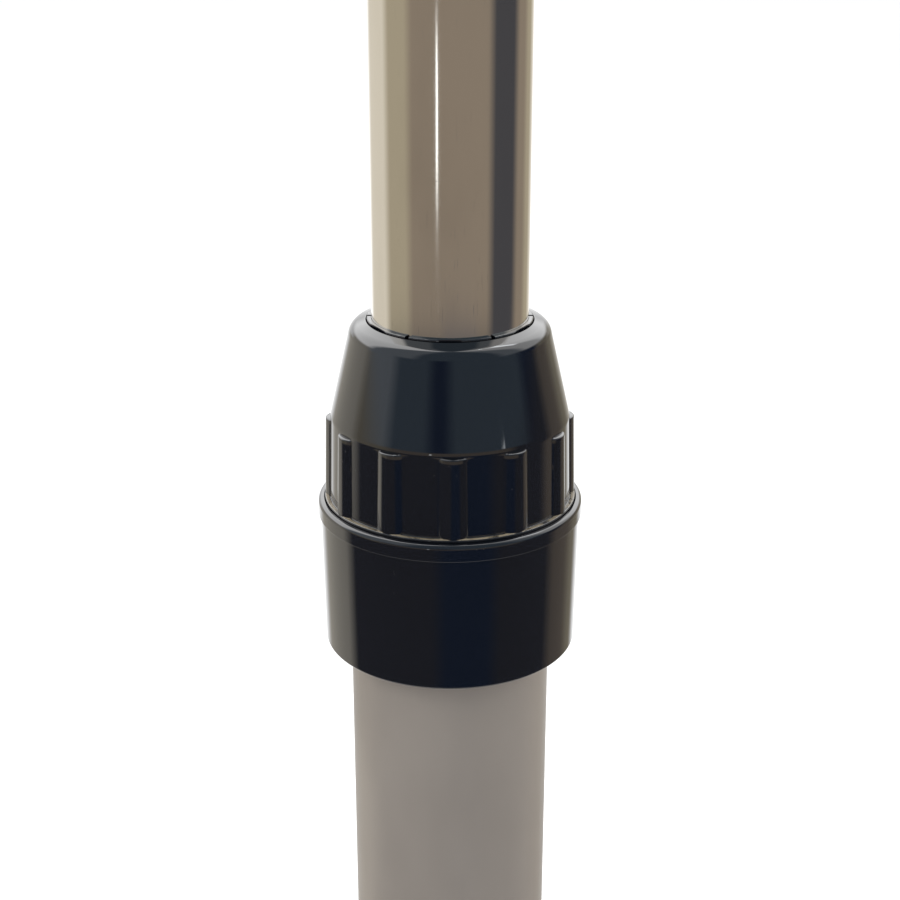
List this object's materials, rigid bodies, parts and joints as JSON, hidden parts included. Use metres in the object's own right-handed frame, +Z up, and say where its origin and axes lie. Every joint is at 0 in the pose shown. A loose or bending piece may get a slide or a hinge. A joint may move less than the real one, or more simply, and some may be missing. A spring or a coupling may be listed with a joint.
{
  "type": "telescopic window cleaning pole",
  "caption": "Telescopic window cleaning pole: a polished inner tube slides in a satin outer tube and is held by a ribbed twist-lock nut; grip and foot below, tool spigot on top.",
  "frame": {"origin": "centre of the foot's underside, on the pole's axis", "axes": "+Z up along the pole towards the tool spigot, -Y the front of the pole"},
  "size_m": [0.052, 0.052, 0.8331],
  "materials": {
    "outer_tube": "satin anodised, warm grey",
    "inner_tube": "polished stainless steel with fine handling scratches",
    "black_plastic": "gloss black moulded plastic with fine scuffs",
    "matte_plastic": "fine moulded texture, black",
    "collet_plastic": "dark grey moulded plastic",
    "bush_plastic": "natural off-white acetal",
    "rivet_metal": "drawn aluminium, dull",
    "screw_steel": "zinc plated",
    "stud_metal": "turned aluminium",
    "rubber": "black rubber",
    "grip_rubber": "dark grey ribbed rubber"
  },
  "bodies": {
    "outer_pole": {"outer_tube": "outer_tube", "base_collar": "black_plastic", "collar_rivets": "rivet_metal", "guide_bush": "bush_plastic", "collet": "collet_plastic", "end_cap": "matte_plastic", "foot_pad": "rubber", "foot_screw": "screw_steel", "grip_sleeve": "grip_rubber", "grip_ring": "matte_plastic"},
    "glide": {"glide_ring": "bush_plastic"},
    "inner_pole": {"inner_tube": "inner_tube", "end_plug": "matte_plastic", "plug_pin": "rivet_metal", "stop_bumper": "rubber", "tip_ferrule": "black_plastic", "tip_pin": "rivet_metal", "tool_stud": "stud_metal"},
    "nut_slip": {"slip_ring": "bush_plastic"},
    "nut": {"lock_nut": "black_plastic"}
  },
  "joints": [
    {"name": "pole_extend", "type": "slide", "parent": "outer_pole", "child": "glide", "axis": [0, 0, 1], "range_m": [-0.115, 0.416]},
    {"name": "pole_twist", "type": "hinge", "parent": "glide", "child": "inner_pole", "pos_m": [0, 0, 0.158], "axis": [0, 0, 1], "continuous": true},
    {"name": "nut_lift", "type": "slide", "parent": "outer_pole", "child": "nut_slip", "axis": [0, 0, 1], "range_m": [0, 0.0031]},
    {"name": "nut_turn", "type": "hinge", "parent": "nut_slip", "child": "nut", "pos_m": [0, 0, 0.63], "axis": [0, 0, 1], "range_deg": [0, 270]}
  ],
  "couplings": [
    {"joint": "nut_lift", "follows": "nut_turn", "m_per_rad": 0.00063662}
  ]
}
